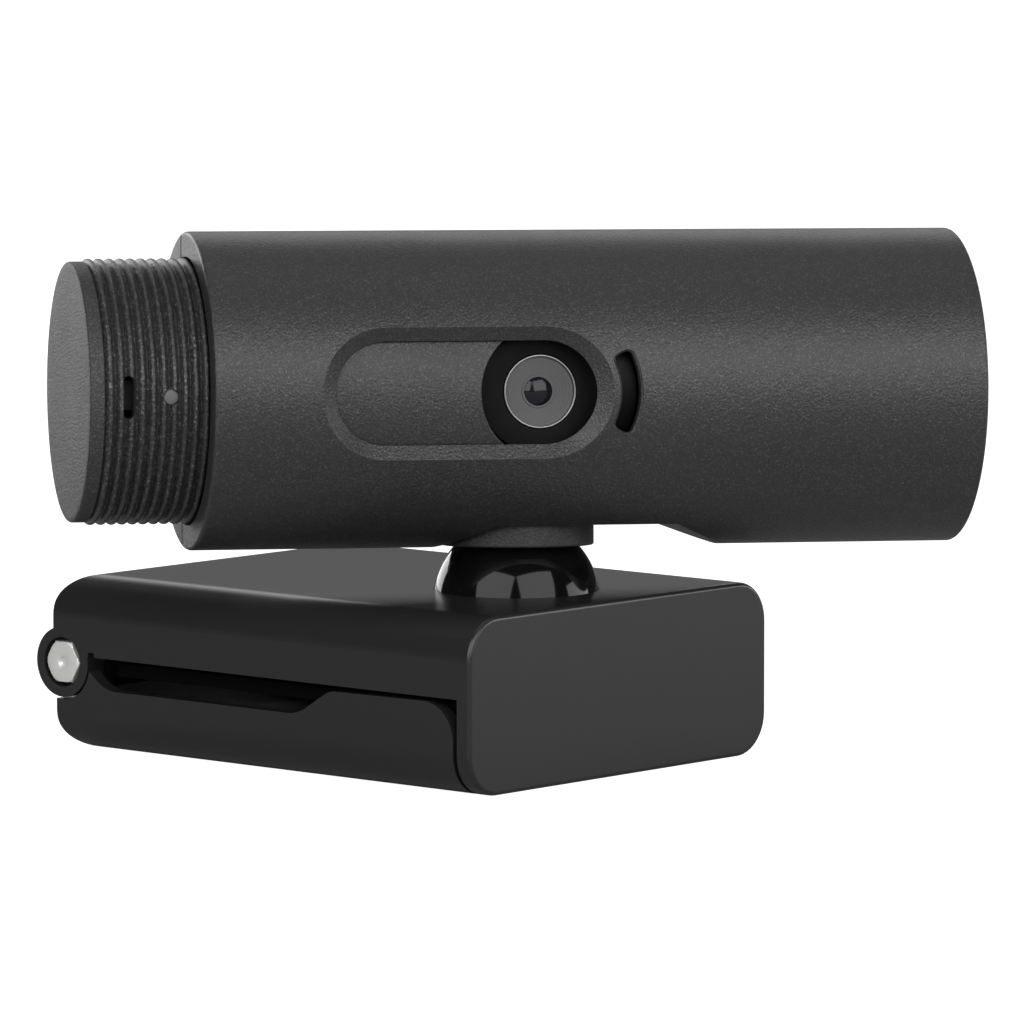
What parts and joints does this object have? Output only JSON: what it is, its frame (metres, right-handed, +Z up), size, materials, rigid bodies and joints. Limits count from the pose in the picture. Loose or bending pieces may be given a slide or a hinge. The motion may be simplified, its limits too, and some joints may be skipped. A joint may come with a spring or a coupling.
{
  "type": "webcam on monitor clip",
  "caption": "Barrel-shaped webcam with a sliding privacy shutter, on a ball joint over a folding monitor clip with a tripod thread underneath.",
  "frame": {"origin": "mouth of the tripod thread, in the underside of the clip, straight below the ball", "axes": "+Z up, -Y out of the clip's front plate, +X along the clip's hinge pin, to the right when facing the screen the clip sits on"},
  "size_m": [0.1075, 0.0997, 0.0647],
  "materials": {
    "shell": "dark graphite paint with fine metal flake",
    "cap": "dark graphite paint, satin",
    "sleeve": "satin black",
    "clip": "satin black moulding",
    "ball": "polished black",
    "collar": "satin dark grey",
    "lens_black": "fine matt black",
    "lens_ring": "matt grey",
    "trim": "turned",
    "lens_glass": "coated",
    "light": "smoked",
    "led": "clear resin",
    "pip": "grey",
    "rubber": "matt",
    "washer": "natural acetal",
    "bolt": "zinc plated",
    "screw": "blackened",
    "brass": "machined",
    "board": "solder mask",
    "chip": "moulded",
    "can": "tinned",
    "chassis": "moulded black"
  },
  "bodies": {
    "leg": {"clip_leg": "clip", "tripod_insert": "brass", "leg_pad": "rubber", "hinge_washers": "washer"},
    "bracket": {"clip_bracket": "clip", "bracket_cover": "clip", "cover_screws": "screw", "top_pad": "rubber", "front_pad": "rubber", "socket_ring": "clip", "hinge_bolt": "bolt", "hinge_nut": "bolt"},
    "pan_cup": {"pressure_cup": "washer", "disc_spring": "bolt"},
    "liner": {"socket_liner": "washer"},
    "head": {"ball": "ball", "mount_collar": "collar", "neck_washer": "bolt", "neck_screw": "bolt", "front_shell": "shell", "rear_shell": "shell", "end_cap": "shell", "shell_screws": "screw", "chassis": "chassis", "chassis_screws": "screw", "main_board": "board", "board_screws": "screw", "processor": "chip", "shield_can": "can", "status_led": "led", "light_guide": "light", "image_sensor": "chip", "lens_holder": "lens_black", "lens_barrel": "lens_black", "rear_element": "lens_glass", "lens_cup": "lens_ring", "front_element": "lens_glass", "trim_ring": "trim", "lens_bezel": "lens_black", "usb_board": "board", "usb_board_screws": "screw", "usb_socket": "can"},
    "shutter": {"privacy_sleeve": "sleeve", "slide_o_ring": "rubber", "knob": "shell", "knob_cap": "cap", "index_pip": "pip", "sound_board": "board", "microphone": "rubber"}
  },
  "joints": [
    {"name": "clip_hinge", "type": "hinge", "parent": "leg", "child": "bracket", "pos_m": [0, 0.0498, 0.0107], "axis": [-1, 0, 0], "range_deg": [0, 135]},
    {"name": "pan", "type": "hinge", "parent": "bracket", "child": "pan_cup", "pos_m": [0, 0, 0.0197], "axis": [0, 0, 1], "continuous": true},
    {"name": "lean", "type": "hinge", "parent": "pan_cup", "child": "liner", "pos_m": [0, 0, 0.0197], "axis": [0.5885, 0.8085, 0], "range_deg": [-3.5, 3.5]},
    {"name": "nod", "type": "hinge", "parent": "liner", "child": "head", "pos_m": [0, 0, 0.0197], "axis": [0.8084, -0.5884, -0.0119], "range_deg": [-20, 27]},
    {"name": "privacy_slide", "type": "slide", "parent": "head", "child": "shutter", "axis": [0.8084, -0.5884, -0.0119], "range_m": [0, 0.014]}
  ]
}
